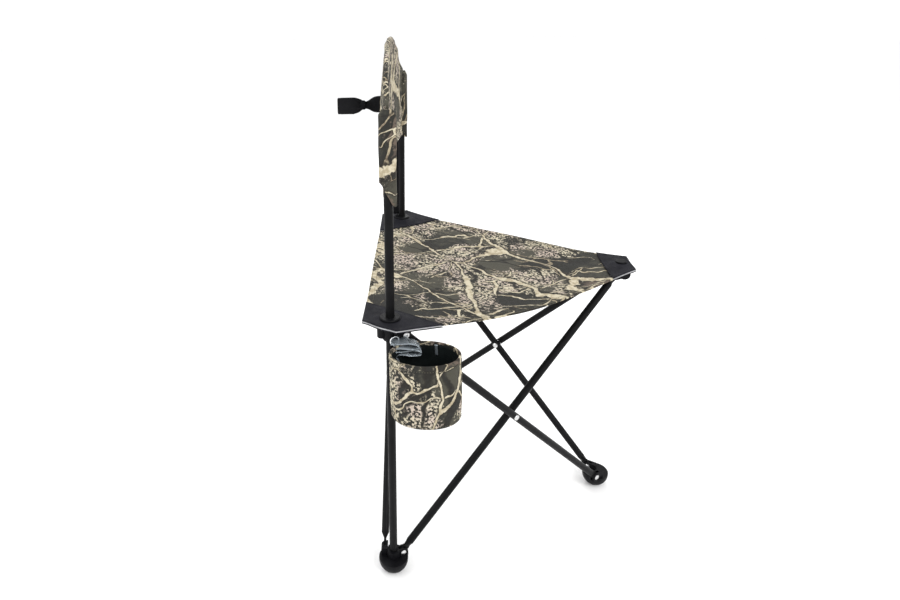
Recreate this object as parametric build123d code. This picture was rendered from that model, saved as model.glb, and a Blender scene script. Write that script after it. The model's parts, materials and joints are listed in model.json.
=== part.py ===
"""Folding three leg stool with a backrest and a hanging cup holder.

Two upright back posts stand in the back feet and carry the backrest. Three pairs of crossed
tubes join the back left, front and back right corners. The crossed pairs are alike, and the
corners form an equilateral triangle, so the stool folds like an umbrella: the top joints rise
along the posts while the corners close up. Millimetres, +Z up, front towards -Y. The origin is
on the floor, under the middle of the whole object.
"""

from build123d import *
import os
from math import cos, radians, sin, sqrt, tan

os.makedirs("parts", exist_ok=True)

# Plan of the frame. The cup holder hangs on the left, so the stool's own middle is right of x = 0.
MIDDLE_X = 19.4
POST_Y = 144.7
CORNER_SPAN = 420.0
CORNER_TO_CENTRE = CORNER_SPAN / sqrt(3)
CENTRE_Y = POST_Y - CORNER_TO_CENTRE / 2
# Each corner's direction from the centre of the triangle, in degrees from +X.
CORNER_ANGLE = {"left": 150.0, "front": 270.0, "right": 30.0}
HALF_CORNER = 30.0
# Going round the triangle, each crossed pair of tubes runs from one corner to the next.
SIDES = (("left", "front"), ("front", "right"), ("right", "left"))

# Tubes.
TUBE_DIAMETER = 12.0
TUBE_WALL = 1.0
LOW_PIVOT_Z = 29.6
HIGH_PIVOT_Z = 426.6
PIVOT_ARM = 14.5
INNER_OFFSET = 1.7
OUTER_OFFSET = 14.5
FLAT_THICKNESS = 3.5
FLAT_WIDTH = 12.0
FLAT_CORNER_RADIUS = 1.7
FLAT_LENGTH = 11.0
TAPER_LENGTH = 9.0
POST_BOTTOM_Z = 6.0
POST_TOP_Z = 713.6
POST_WALL = 1.2

# Rivets, and the clearances that let the frame move.
RIVET_RADIUS = 2.5
RIVET_HEAD_RADIUS = 4.6
RIVET_HEAD_HEIGHT = 1.8
PIVOT_CLEARANCE = 0.08
FIXED_CLEARANCE = 0.02
SLOT_CLEARANCE = 0.45
COLLAR_CLEARANCE = 0.35
WASHER_RADIUS = 5.5
WASHER_GAP = 0.05

# Feet and top joints.
FOOT_BALL_RADIUS = 23.0
FOOT_BALL_Z = 21.6
FOOT_TOP_Z = 24.8
FOOT_LIMIT_RADIUS = 28.5
SOCKET_RADIUS = 9.5
SOCKET_TOP = 38.5
LOBE_RADIUS = 8.4
LOBE_WALL = 2.6
COLLAR_RADIUS = 10.2
COLLAR_BOTTOM_Z = 416.6
COLLAR_TOP_Z = 437.6
TOP_FLANGE_RADIUS = 14.0
TOP_FLANGE_HEIGHT = 3.0
EAR_RADIUS = 7.5
EAR_OUT = 10.5
EAR_BOTTOM_Z = 420.0
FRONT_BLOCK_TOP_Z = 434.4
FRONT_BLOCK_BOTTOM_Z = 418.6
FRONT_NOSE_LENGTH = 3.0
FRONT_NOSE_HALF = 12.0

# Seat: a sheet that sags between its corners, part of a large ball.
SEAT_EDGE_Z = 447.6
SEAT_BALL_RADIUS = 1900.0
SEAT_THICKNESS = 2.5
SEAT_DEPTH = 80.0
SEAT_TILT = 0.4
PATCH_EXTRA = 1.5
CORNER_CUT_OUT = 31.0
FRONT_CUT_OUT = 13.0
CORNER_CUT_HALF = 30.0
PATCH_REACH = 33.5
FRONT_PATCH_REACH = 30.0
SEAT_GAP = 0.2
SEAT_HOLE_RADIUS = 8.5
GROMMET_RADIUS = 14.0
GROMMET_BOTTOM_Z = 447.2
GROMMET_HEIGHT = 3.0
GROMMET_ROUND = 1.8
STUD_INWARD = 3.0
STUD_RADIUS = 3.0
STUD_HEAD_RADIUS = 9.0
STUD_HEAD_BOTTOM_Z = 444.0
STUD_HEAD_HEIGHT = 2.6
STUD_ROUND = 1.8

# Backrest.
SLEEVE_BOTTOM_Z = 604.6
SLEEVE_TOP_Z = 719.6
SLEEVE_HOLE_TOP_Z = 717.6
SLEEVE_HALF_X = 8.5
SLEEVE_HALF_Y = 12.0
BACKREST_TOP_Z = 791.6
BACKREST_BOW = 16.0
BACKREST_THICKNESS = 8.0

# Straps of 25 mm webbing.
WEBBING_WIDTH = 25.0
WEBBING_THICKNESS = 2.0
CLOSURE_Z = 696.6
CLOSURE_END_Y = 67.0
CLOSURE_WAIST_Y = 32.0
CLOSURE_WAIST_HALF = 6.0
CLOSURE_THICKNESS = 4.0
CARRY_OFFSET = 9.2
CARRY_BACK = 8.0
CARRY_BOTTOM_Z = 451.1
CARRY_TOP_Z = 631.6

# Cup holder, an upright oval pocket beside the left corner.
CUP_X = -46.0
CUP_Y = -47.0
CUP_HALF_X = 33.0
CUP_HALF_Y = 46.0
CUP_BOTTOM_Z = 326.6
CUP_TOP_Z = 420.6
CUP_WALL = 2.0
LINING_WALL = 1.2
BINDING_HEIGHT = 8.0
BINDING_WALL = 1.6
HANGER_LOW_Y = -8.0
HANGER_HIGH_Y = 29.0
HANGER_INNER_X = 15.0
HANGER_THICKNESS = 2.5
HANGER_TOP_Z = 437.6
HANGER_GAP = 0.1
RING_ALONG = -5.0
RING_OUT = 22.5
RING_Z = 425.6
RING_RADIUS = 6.0
RING_WIRE = 1.8


def corner_frame(corner, z=0.0):
    """Frame on a corner's own vertical axis, with its +X towards the centre of the triangle."""
    angle = CORNER_ANGLE[corner]
    x = MIDDLE_X + CORNER_TO_CENTRE * cos(radians(angle))
    y = CENTRE_Y + CORNER_TO_CENTRE * sin(radians(angle))
    return Location((x, y, z), (0, 0, angle + 180))


def side_frame(corner, turn, z=0.0):
    """Frame on a corner's axis with +X along one side of the triangle.

    turn is -1 for the side to the next corner and 1 for the side to the one before it. The
    outside of the stool is then towards turn * Y.
    """
    return corner_frame(corner, z) * Location((0, 0, 0), (0, 0, HALF_CORNER * turn))


def write(shape, node):
    shape.label = node
    export_step(shape, f"parts/{node}.step")


def rod(radius, start, end):
    """Round bar along X, Y or Z between two points."""
    axis = Vector(*end) - Vector(*start)
    plane = Plane(origin=start, z_dir=axis)
    return extrude(plane * Circle(radius), axis.length)


def box_between(low, high):
    size = [b - a for a, b in zip(low, high)]
    middle = [(a + b) / 2 for a, b in zip(low, high)]
    return Location(tuple(middle)) * Box(*size)


# ---------------------------------------------------------------- tubes


def tube_half():
    """One end of a crossed tube, from its pivot at the origin along +X to its mid length."""
    half_length = tube_length() / 2
    taper_start = FLAT_LENGTH
    round_start = FLAT_LENGTH + TAPER_LENGTH
    flat_outline = Plane.XZ * (
        Circle(FLAT_WIDTH / 2) + Pos(taper_start / 2, 0) * Rectangle(taper_start, FLAT_WIDTH)
    )
    flat = extrude(flat_outline, FLAT_THICKNESS / 2, both=True)
    flat_section = RectangleRounded(FLAT_THICKNESS, FLAT_WIDTH, FLAT_CORNER_RADIUS)
    round_section = Circle(TUBE_DIAMETER / 2)
    taper = loft(
        [Plane.YZ.offset(taper_start) * flat_section, Plane.YZ.offset(round_start) * round_section]
    )
    barrel = rod(TUBE_DIAMETER / 2, (round_start, 0, 0), (half_length, 0, 0))
    inside = rod(TUBE_DIAMETER / 2 - TUBE_WALL, (round_start, 0, 0), (half_length, 0, 0))
    return flat + taper + barrel - inside


def tube_length():
    across = CORNER_SPAN - 2 * PIVOT_ARM
    return sqrt(across**2 + (HIGH_PIVOT_Z - LOW_PIVOT_Z) ** 2)


def crossed_tube(start, end, outside):
    """A tube with flattened, drilled ends between two pivots, its flats facing outside."""
    along = Vector(*end) - Vector(*start)
    half = tube_half()
    whole = half + mirror(half, about=Plane.YZ.offset(tube_length() / 2))
    for x in (0, tube_length() / 2, tube_length()):
        whole -= rod(RIVET_RADIUS + PIVOT_CLEARANCE, (x, -TUBE_DIAMETER, 0), (x, TUBE_DIAMETER, 0))
    frame = Plane(origin=start, x_dir=along, z_dir=along.cross(Vector(*outside)))
    return frame.location * whole


def side_points(first, second):
    """The four pivots of a crossed pair, the outward normal, and the middle of the cross."""
    near = side_frame(first, -1)
    far = side_frame(second, 1)
    inner_low = (near * Pos(PIVOT_ARM, -INNER_OFFSET, LOW_PIVOT_Z)).position
    inner_high = (far * Pos(PIVOT_ARM, INNER_OFFSET, HIGH_PIVOT_Z)).position
    outer_high = (near * Pos(PIVOT_ARM, -OUTER_OFFSET, HIGH_PIVOT_Z)).position
    outer_low = (far * Pos(PIVOT_ARM, OUTER_OFFSET, LOW_PIVOT_Z)).position
    outside = (outer_high - (near * Pos(PIVOT_ARM, 0, HIGH_PIVOT_Z)).position).normalized()
    return inner_low, inner_high, outer_high, outer_low, outside


def make_crossed_pair(first, second):
    inner_low, inner_high, outer_high, outer_low, outside = side_points(first, second)
    name = f"{first}_{second}"
    write(crossed_tube(inner_low, inner_high, outside), f"inner_tube_{name}")
    write(crossed_tube(outer_low, outer_high, outside), f"outer_tube_{name}")
    inner_middle = (inner_low + inner_high) / 2
    outer_middle = (outer_low + outer_high) / 2
    radius = TUBE_DIAMETER / 2 + WASHER_GAP
    write(
        rivet(inner_middle - outside * radius, outer_middle + outside * radius),
        f"crossing_rivet_{name}",
    )
    washer_start = inner_middle + outside * radius
    washer_end = outer_middle - outside * radius
    washer = rod(WASHER_RADIUS, washer_start, washer_end)
    washer -= rod(RIVET_RADIUS + PIVOT_CLEARANCE, washer_start, washer_end)
    write(washer, f"crossing_washer_{name}")


def rivet(start, end):
    """A rivet whose shank runs between two points, with a low domed head outside each."""
    axis = Vector(*end) - Vector(*start)
    length = axis.length
    head = RIVET_HEAD_HEIGHT
    radius = RIVET_HEAD_RADIUS
    outline = make_face(
        TangentArc((0, -head), (radius, 0), tangent=(1, 0))
        + Polyline((radius, 0), (RIVET_RADIUS, 0), (RIVET_RADIUS, length), (radius, length))
        + TangentArc((0, length + head), (radius, length), tangent=(1, 0))
        + Line((0, length + head), (0, -head))
    )
    return Plane(origin=start, z_dir=axis).location * revolve(Plane.XZ * outline, Axis.Z)


# ---------------------------------------------------------------- posts


def make_post(corner):
    frame = corner_frame(corner)
    outside = rod(TUBE_DIAMETER / 2, (0, 0, POST_BOTTOM_Z), (0, 0, POST_TOP_Z))
    inside = rod(TUBE_DIAMETER / 2 - POST_WALL, (0, 0, POST_BOTTOM_Z), (0, 0, POST_TOP_Z))
    write(frame * (outside - inside), f"{corner}_post")
    plug = rod(
        TUBE_DIAMETER / 2 - POST_WALL - FIXED_CLEARANCE,
        (0, 0, POST_TOP_Z - TUBE_DIAMETER),
        (0, 0, POST_TOP_Z),
    )
    lid = rod(TUBE_DIAMETER / 2, (0, 0, POST_TOP_Z), (0, 0, POST_TOP_Z + RIVET_HEAD_HEIGHT))
    write(frame * (plug + lid), f"{corner}_post_cap")


# ---------------------------------------------------------------- feet and top joints


def lobe(turn, offset, z, drop_to):
    """A cheek block round one tube end: it reaches from the corner's axis past the pivot."""
    half = FLAT_THICKNESS / 2 + SLOT_CLEARANCE + LOBE_WALL
    profile = Pos(PIVOT_ARM, z) * Circle(LOBE_RADIUS)
    low, high = sorted((drop_to, z + (LOBE_RADIUS if drop_to < z else -LOBE_RADIUS)))
    profile += Pos(PIVOT_ARM / 2, (low + high) / 2) * Rectangle(PIVOT_ARM, high - low)
    reach = PIVOT_ARM + LOBE_RADIUS
    skirt_low, skirt_high = sorted((drop_to, z))
    profile += Pos(reach / 2, (skirt_low + skirt_high) / 2) * Rectangle(reach, skirt_high - skirt_low)
    block = extrude(Plane.XZ * profile, half, both=True)
    return Pos(0, turn * offset, 0) * block


def slot(turn, offset, z, towards):
    """The room that a flattened tube end needs: open upwards (1) or downwards (-1)."""
    half = FLAT_THICKNESS / 2 + SLOT_CLEARANCE
    radius = FLAT_WIDTH / 2 + SLOT_CLEARANCE
    tall = SOCKET_TOP + radius
    wide = 2 * FOOT_LIMIT_RADIUS
    mouth = Pos(PIVOT_ARM - radius + wide / 2, z + towards * (tall / 2 - radius))
    profile = Pos(PIVOT_ARM, z) * Circle(radius) + mouth * Rectangle(wide, tall)
    return Pos(0, turn * offset, 0) * extrude(Plane.XZ * profile, half, both=True)


def joint_holes(turn, offset, z):
    middle = turn * offset
    return rod(
        RIVET_RADIUS + FIXED_CLEARANCE,
        (PIVOT_ARM, middle - FOOT_LIMIT_RADIUS, z),
        (PIVOT_ARM, middle + FOOT_LIMIT_RADIUS, z),
    )


def joint_rivet(turn, offset, z):
    half = FLAT_THICKNESS / 2 + SLOT_CLEARANCE + LOBE_WALL + FIXED_CLEARANCE
    middle = turn * offset
    return rivet((PIVOT_ARM, middle - half, z), (PIVOT_ARM, middle + half, z))


def turned(turn, shape):
    """Turn a shape from a corner's frame into the frame of one of its two sides."""
    return Location((0, 0, 0), (0, 0, HALF_CORNER * turn)) * shape


def make_foot(corner, has_post):
    """A ball-shaped plastic foot with a flat base and a pair of cheeks for each tube end."""
    ball = Pos(0, 0, FOOT_BALL_Z)
    body = ball * Sphere(FOOT_BALL_RADIUS)
    body &= rod(FOOT_LIMIT_RADIUS, (0, 0, 0), (0, 0, FOOT_TOP_Z))
    ends = ((-1, INNER_OFFSET), (1, OUTER_OFFSET))
    for turn, offset in ends:
        cheeks = turned(turn, lobe(turn, offset, LOW_PIVOT_Z, FOOT_BALL_Z))
        body += cheeks & (ball * Sphere(FOOT_LIMIT_RADIUS))
    if has_post:
        body += rod(SOCKET_RADIUS, (0, 0, FOOT_BALL_Z), (0, 0, SOCKET_TOP))
    for turn, offset in ends:
        body -= turned(turn, slot(turn, offset, LOW_PIVOT_Z, 1))
        body -= turned(turn, joint_holes(turn, offset, LOW_PIVOT_Z) & side_of_axis())
    if has_post:
        body -= rod(TUBE_DIAMETER / 2 + FIXED_CLEARANCE, (0, 0, POST_BOTTOM_Z), (0, 0, SOCKET_TOP + 1))
    frame = corner_frame(corner)
    write(frame * body, f"{corner}_foot")
    rivets = [frame * turned(turn, joint_rivet(turn, offset, LOW_PIVOT_Z)) for turn, offset in ends]
    write(Compound(children=rivets), f"{corner}_foot_rivets")


def side_of_axis():
    """Everything ahead of a corner's axis, so a hole is drilled through one cheek block only."""
    size = 2 * BACKREST_TOP_Z
    return Pos(size / 2 + TUBE_DIAMETER / 2, 0, 0) * Box(size, size, size)


def make_collar(corner):
    """A back top joint: a ring that slides on the post, with a cheek block for each tube end.

    A round ear stands out of the back.
    """
    body = rod(COLLAR_RADIUS, (0, 0, COLLAR_BOTTOM_Z), (0, 0, COLLAR_TOP_Z))
    body += rod(TOP_FLANGE_RADIUS, (0, 0, COLLAR_TOP_Z - TOP_FLANGE_HEIGHT), (0, 0, COLLAR_TOP_Z))
    turn = 1 if corner == "left" else -1
    ear_y = turn * EAR_OUT
    body += turned(turn, rod(EAR_RADIUS, (0, ear_y, EAR_BOTTOM_Z), (0, ear_y, COLLAR_TOP_Z)))
    bore = rod(TUBE_DIAMETER / 2 + COLLAR_CLEARANCE, (0, 0, 0), (0, 0, POST_TOP_Z))
    finish_top_joint(corner, "collar", body, bore, COLLAR_TOP_Z)


def make_front_joint():
    """The front top joint: a block with a nose under the seat's tip and no post through it."""
    body = rod(COLLAR_RADIUS, (0, 0, FRONT_BLOCK_BOTTOM_Z), (0, 0, FRONT_BLOCK_TOP_Z))
    middle_z = (FRONT_BLOCK_BOTTOM_Z + FRONT_BLOCK_TOP_Z) / 2
    half_height = (FRONT_BLOCK_TOP_Z - FRONT_BLOCK_BOTTOM_Z) / 2
    body += box_between(
        (-FRONT_NOSE_LENGTH, -FRONT_NOSE_HALF, FRONT_BLOCK_BOTTOM_Z),
        (0, FRONT_NOSE_HALF, FRONT_BLOCK_TOP_Z),
    )
    nose = Plane.XZ * Pos(-FRONT_NOSE_LENGTH, middle_z) * Circle(half_height)
    body += extrude(nose, FRONT_NOSE_HALF, both=True)
    bore = rod(STUD_RADIUS + FIXED_CLEARANCE, (STUD_INWARD, 0, 0), (STUD_INWARD, 0, POST_TOP_Z))
    finish_top_joint("front", "joint", body, bore, FRONT_BLOCK_TOP_Z)


def finish_top_joint(corner, kind, body, bore, top_z):
    """Add a top joint's cheek blocks, trim them to its height, and cut its slots and holes."""
    ends = ((-1, OUTER_OFFSET), (1, INNER_OFFSET))
    block_top = HIGH_PIVOT_Z + FLAT_WIDTH / 2 + SLOT_CLEARANCE
    for turn, offset in ends:
        body += turned(turn, lobe(turn, offset, HIGH_PIVOT_Z, block_top))
    body &= rod(FOOT_LIMIT_RADIUS, (0, 0, COLLAR_BOTTOM_Z), (0, 0, top_z))
    for turn, offset in ends:
        body -= turned(turn, slot(turn, offset, HIGH_PIVOT_Z, -1))
        body -= turned(turn, joint_holes(turn, offset, HIGH_PIVOT_Z) & side_of_axis())
    body -= bore
    frame = corner_frame(corner)
    write(frame * body, f"{corner}_{kind}")
    rivets = [frame * turned(turn, joint_rivet(turn, offset, HIGH_PIVOT_Z)) for turn, offset in ends]
    write(Compound(children=rivets), f"{corner}_{kind}_rivets")


# ---------------------------------------------------------------- seat


def cut_out(corner):
    return FRONT_CUT_OUT if corner == "front" else CORNER_CUT_OUT


def patch_reach(corner):
    return FRONT_PATCH_REACH if corner == "front" else PATCH_REACH


def seat_outline_points():
    """The two ends of each cut-off corner, going round from the left."""
    points = []
    for corner in CORNER_ANGLE:
        for side in (1, -1):
            place = corner_frame(corner) * Pos(-cut_out(corner), side * CORNER_CUT_HALF, 0)
            points.append((place.position.X, place.position.Y))
    return points


def seat_layer(raise_low, raise_high):
    """The part of the seat's outline between two heights over its lower face."""
    outline = make_face(Polyline(*seat_outline_points(), close=True))
    prism = extrude(Plane.XY.offset(SEAT_EDGE_Z) * outline, SEAT_DEPTH, both=True)
    edge = CORNER_TO_CENTRE + CORNER_CUT_OUT
    rise = SEAT_BALL_RADIUS - sqrt(SEAT_BALL_RADIUS**2 - edge**2)
    ball_z = SEAT_EDGE_Z - SEAT_THICKNESS - rise + SEAT_BALL_RADIUS
    ball_place = Pos(MIDDLE_X, CENTRE_Y, ball_z)
    hollow = ball_place * Sphere(SEAT_BALL_RADIUS - raise_high)
    bowl = ball_place * Sphere(SEAT_BALL_RADIUS - raise_low)
    sheet = (prism & bowl) - hollow
    tilt = Location((0, POST_Y, SEAT_EDGE_Z)) * Location((0, 0, 0), (SEAT_TILT, 0, 0))
    return tilt * (Location((0, -POST_Y, -SEAT_EDGE_Z)) * sheet)


def corner_region(corner, start, end):
    """A block that takes a corner's share of the seat, from start to end along the way in."""
    return corner_frame(corner) * box_between(
        (start, -CORNER_SPAN, SEAT_EDGE_Z - SEAT_DEPTH), (end, CORNER_SPAN, SEAT_EDGE_Z + SEAT_DEPTH)
    )


def meet(first, second):
    """Where two lines in plan cross, each given by two points."""
    (a, b), (c, d) = first, second
    step, other = b - a, d - c
    share = (c - a).cross(other).Z / step.cross(other).Z
    return a + step * share


def on_seat(point):
    """The point of the sheet's lower face over a place in plan."""
    edge = CORNER_TO_CENTRE + CORNER_CUT_OUT
    away = (point - Vector(MIDDLE_X, CENTRE_Y)).length
    sag = sqrt(SEAT_BALL_RADIUS**2 - away**2) - sqrt(SEAT_BALL_RADIUS**2 - edge**2)
    tilt = (point.Y - POST_Y) * tan(radians(SEAT_TILT))
    return Vector(point.X, point.Y, SEAT_EDGE_Z - SEAT_THICKNESS - sag + tilt)


def gore_plan(corner):
    """The tip of a corner's gore, then its other four points in order, in plan."""
    frame = corner_frame(corner)
    outline = [Vector(*point) for point in seat_outline_points()]
    index = list(CORNER_ANGLE).index(corner)
    left_edge = (outline[2 * index], outline[2 * index - 1])
    right_edge = (outline[2 * index + 1], outline[(2 * index + 2) % len(outline)])
    tip = CORNER_TO_CENTRE - SEAT_GAP
    back = tip - CORNER_SPAN * sin(radians(HALF_CORNER))
    side = CORNER_SPAN * cos(radians(HALF_CORNER))
    start = patch_reach(corner) + SEAT_GAP
    tip_point = (frame * Pos(tip, 0, 0)).position
    left_border = (tip_point, (frame * Pos(back, side, 0)).position)
    right_border = (tip_point, (frame * Pos(back, -side, 0)).position)
    hinge = ((frame * Pos(start, -side, 0)).position, (frame * Pos(start, side, 0)).position)
    return tip_point, [
        meet(left_edge, left_border),
        meet(left_edge, hinge),
        meet(right_edge, hinge),
        meet(right_edge, right_border),
    ]


def make_gore(corner):
    """A corner's third of the camouflage sheet, in three flat facets that meet at the tip."""
    tip, others = gore_plan(corner)
    gore = None
    for first, second in zip(others, others[1:]):
        facet = make_face(Polyline(on_seat(tip), on_seat(first), on_seat(second), close=True))
        slab = extrude(facet, SEAT_THICKNESS, dir=(0, 0, 1))
        gore = slab if gore is None else gore + slab
    write(gore, f"seat_cloth_{corner}")


def make_patch(corner):
    """A corner's black patch, with the hole that its post or stud goes through."""
    layer = seat_layer(0, SEAT_THICKNESS + PATCH_EXTRA)
    hole = rod(SEAT_HOLE_RADIUS, (0, 0, 0), (0, 0, POST_TOP_Z))
    if corner == "front":
        hole = rod(STUD_RADIUS + FIXED_CLEARANCE, (STUD_INWARD, 0, 0), (STUD_INWARD, 0, POST_TOP_Z))
    patch = layer & corner_region(corner, -CORNER_SPAN, patch_reach(corner))
    write(patch - corner_frame(corner) * hole, f"seat_patch_{corner}")


def make_grommet(corner):
    ring = rod(GROMMET_RADIUS, (0, 0, GROMMET_BOTTOM_Z), (0, 0, GROMMET_BOTTOM_Z + GROMMET_HEIGHT))
    ring = fillet(ring.edges().group_by(Axis.Z)[-1], GROMMET_ROUND)
    bore = rod(
        TUBE_DIAMETER / 2 + COLLAR_CLEARANCE,
        (0, 0, GROMMET_BOTTOM_Z - 1),
        (0, 0, GROMMET_BOTTOM_Z + GROMMET_HEIGHT + 1),
    )
    write(corner_frame(corner) * (ring - bore), f"seat_grommet_{corner}")


def make_front_stud():
    """The stud that holds the seat's tip down on the front joint."""
    shank = rod(STUD_RADIUS, (0, 0, FRONT_BLOCK_BOTTOM_Z), (0, 0, STUD_HEAD_BOTTOM_Z))
    head = rod(
        STUD_HEAD_RADIUS, (0, 0, STUD_HEAD_BOTTOM_Z), (0, 0, STUD_HEAD_BOTTOM_Z + STUD_HEAD_HEIGHT)
    )
    head = fillet(head.edges().group_by(Axis.Z)[-1], STUD_ROUND)
    write(corner_frame("front") * Pos(STUD_INWARD, 0, 0) * (shank + head), "seat_stud_front")


# ---------------------------------------------------------------- backrest and straps


def make_backrest():
    """A bowed padded panel whose two side sleeves slip over the posts."""
    half = CORNER_SPAN / 2
    thick = BACKREST_THICKNESS / 2
    plan = make_face(
        ThreePointArc((-half, -thick), (0, BACKREST_BOW - thick), (half, -thick))
        + Line((half, -thick), (half, thick))
        + ThreePointArc((half, thick), (0, BACKREST_BOW + thick), (-half, thick))
        + Line((-half, thick), (-half, -thick))
    )
    for side in (-1, 1):
        plan += Pos(side * half, 0) * Ellipse(SLEEVE_HALF_X, SLEEVE_HALF_Y)
    tall = extrude(Plane.XY.offset(SLEEVE_BOTTOM_Z) * plan, BACKREST_TOP_Z - SLEEVE_BOTTOM_Z)
    edge = half + SLEEVE_HALF_X
    bottom, top = SLEEVE_BOTTOM_Z, SLEEVE_TOP_Z
    front_view = make_face(
        Polyline((-edge, top), (-edge, bottom), (edge, bottom), (edge, top))
        + ThreePointArc((edge, top), (0, BACKREST_TOP_Z), (-edge, top))
    )
    panel = tall & extrude(Plane.XZ * front_view, 2 * SLEEVE_HALF_Y + BACKREST_BOW, both=True)
    for side in (-1, 1):
        panel -= rod(
            TUBE_DIAMETER / 2 + COLLAR_CLEARANCE,
            (side * half, 0, SLEEVE_BOTTOM_Z - 1),
            (side * half, 0, SLEEVE_HOLE_TOP_Z),
        )
    write(Pos(MIDDLE_X, POST_Y, 0) * panel, "backrest_panel")


def make_closure_strap():
    """The strap that holds the folded stool shut: it stands out of the back, twisted at a waist."""
    wide = WEBBING_WIDTH / 2
    start = BACKREST_BOW + BACKREST_THICKNESS / 2 + SEAT_GAP
    waist_start = start + CLOSURE_WAIST_Y / 2
    waist_end = start + CLOSURE_WAIST_Y
    end = start + CLOSURE_END_Y
    outline = Polyline(
        (start, wide),
        (waist_start, CLOSURE_WAIST_HALF),
        (waist_end, CLOSURE_WAIST_HALF),
        (end - wide, wide),
        (end, wide),
        (end, -wide),
        (end - wide, -wide),
        (waist_end, -CLOSURE_WAIST_HALF),
        (waist_start, -CLOSURE_WAIST_HALF),
        (start, -wide),
        close=True,
    )
    strap = extrude(Plane.YZ * make_face(outline), CLOSURE_THICKNESS / 2, both=True)
    write(Pos(MIDDLE_X, POST_Y, CLOSURE_Z) * strap, "closure_strap")


def make_carry_strap():
    """Webbing that runs down the outside of the right post from its sleeve to the seat."""
    strap_x = MIDDLE_X + CORNER_SPAN / 2 + CARRY_OFFSET
    strap_y = POST_Y + CARRY_BACK
    strap = box_between(
        (strap_x, strap_y - WEBBING_WIDTH / 2, CARRY_BOTTOM_Z),
        (strap_x + WEBBING_THICKNESS, strap_y + WEBBING_WIDTH / 2, CARRY_TOP_Z),
    )
    write(strap, "carry_strap")


# ---------------------------------------------------------------- cup holder


def cup_oval(grow, z_low, z_high):
    oval = Ellipse(CUP_HALF_X + grow, CUP_HALF_Y + grow)
    return cup_frame() * extrude(Plane.XY.offset(z_low) * oval, z_high - z_low)


def cup_frame():
    return Pos(MIDDLE_X - CORNER_SPAN / 2 + CUP_X, POST_Y + CUP_Y, 0)


def make_cup():
    """A cloth pocket, its lining, the binding round its rim, and what it hangs by."""
    shell = cup_oval(0, CUP_BOTTOM_Z, CUP_TOP_Z)
    shell -= cup_oval(-CUP_WALL, CUP_BOTTOM_Z + CUP_WALL, CUP_TOP_Z)
    write(shell, "cup_shell")
    lining = cup_oval(-CUP_WALL, CUP_BOTTOM_Z + CUP_WALL, CUP_TOP_Z)
    lining -= cup_oval(-CUP_WALL - LINING_WALL, CUP_BOTTOM_Z + CUP_WALL + LINING_WALL, CUP_TOP_Z)
    write(lining, "cup_lining")
    binding = cup_oval(BINDING_WALL, CUP_TOP_Z - BINDING_HEIGHT, CUP_TOP_Z)
    binding -= cup_oval(0, CUP_TOP_Z - BINDING_HEIGHT, CUP_TOP_Z)
    write(binding, "cup_binding")


def make_cup_hanger():
    """The webbing tab that stands on the cup's rim and ties it to the left collar, and a ring."""
    tab = cup_oval(0, CUP_TOP_Z + HANGER_GAP, HANGER_TOP_Z)
    tab -= cup_oval(-HANGER_THICKNESS, CUP_TOP_Z, HANGER_TOP_Z + 1)
    tab &= cup_frame() * box_between(
        (HANGER_INNER_X, HANGER_LOW_Y, CUP_TOP_Z), (CUP_HALF_X, HANGER_HIGH_Y, HANGER_TOP_Z)
    )
    write(tab, "cup_hanger_tab")
    ring = Rot(90, 0, 0) * Torus(RING_RADIUS, RING_WIRE / 2)
    place = side_frame("left", -1, RING_Z) * Pos(RING_ALONG, -RING_OUT, 0)
    write(place * ring, "cup_ring")


for first_corner, second_corner in SIDES:
    make_crossed_pair(first_corner, second_corner)
for back_corner in ("left", "right"):
    make_post(back_corner)
    make_foot(back_corner, has_post=True)
    make_collar(back_corner)
    make_grommet(back_corner)
make_foot("front", has_post=False)
make_front_joint()
make_front_stud()
for seat_corner in CORNER_ANGLE:
    make_gore(seat_corner)
    make_patch(seat_corner)
make_backrest()
make_closure_strap()
make_carry_strap()
make_cup()
make_cup_hanger()
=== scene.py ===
"""Looks of the folding three leg stool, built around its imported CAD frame. Metres, +Z up."""

import json
import math

import bmesh
import bpy
from mathutils import Matrix, Vector, noise


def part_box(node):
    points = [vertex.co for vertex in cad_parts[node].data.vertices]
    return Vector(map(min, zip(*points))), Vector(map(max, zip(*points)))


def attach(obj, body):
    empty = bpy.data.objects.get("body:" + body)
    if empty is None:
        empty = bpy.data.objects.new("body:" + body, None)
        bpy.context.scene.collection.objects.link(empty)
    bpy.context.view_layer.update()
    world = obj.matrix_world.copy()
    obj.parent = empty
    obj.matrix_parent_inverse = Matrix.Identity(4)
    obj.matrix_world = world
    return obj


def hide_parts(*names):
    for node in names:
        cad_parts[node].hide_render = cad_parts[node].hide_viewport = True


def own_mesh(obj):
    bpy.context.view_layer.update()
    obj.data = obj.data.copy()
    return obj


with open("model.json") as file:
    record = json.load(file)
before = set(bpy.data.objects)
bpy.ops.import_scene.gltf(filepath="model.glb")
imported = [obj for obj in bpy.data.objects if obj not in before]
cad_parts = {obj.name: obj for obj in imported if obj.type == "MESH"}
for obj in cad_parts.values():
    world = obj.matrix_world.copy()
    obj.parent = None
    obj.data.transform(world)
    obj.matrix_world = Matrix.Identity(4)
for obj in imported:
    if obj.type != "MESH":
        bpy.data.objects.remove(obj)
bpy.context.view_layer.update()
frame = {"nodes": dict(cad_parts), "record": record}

MM = 0.001


def node_middle(node):
    low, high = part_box(node)
    return (Vector(low) + Vector(high)) / 2


# -------------------- places taken from the frame

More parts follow.
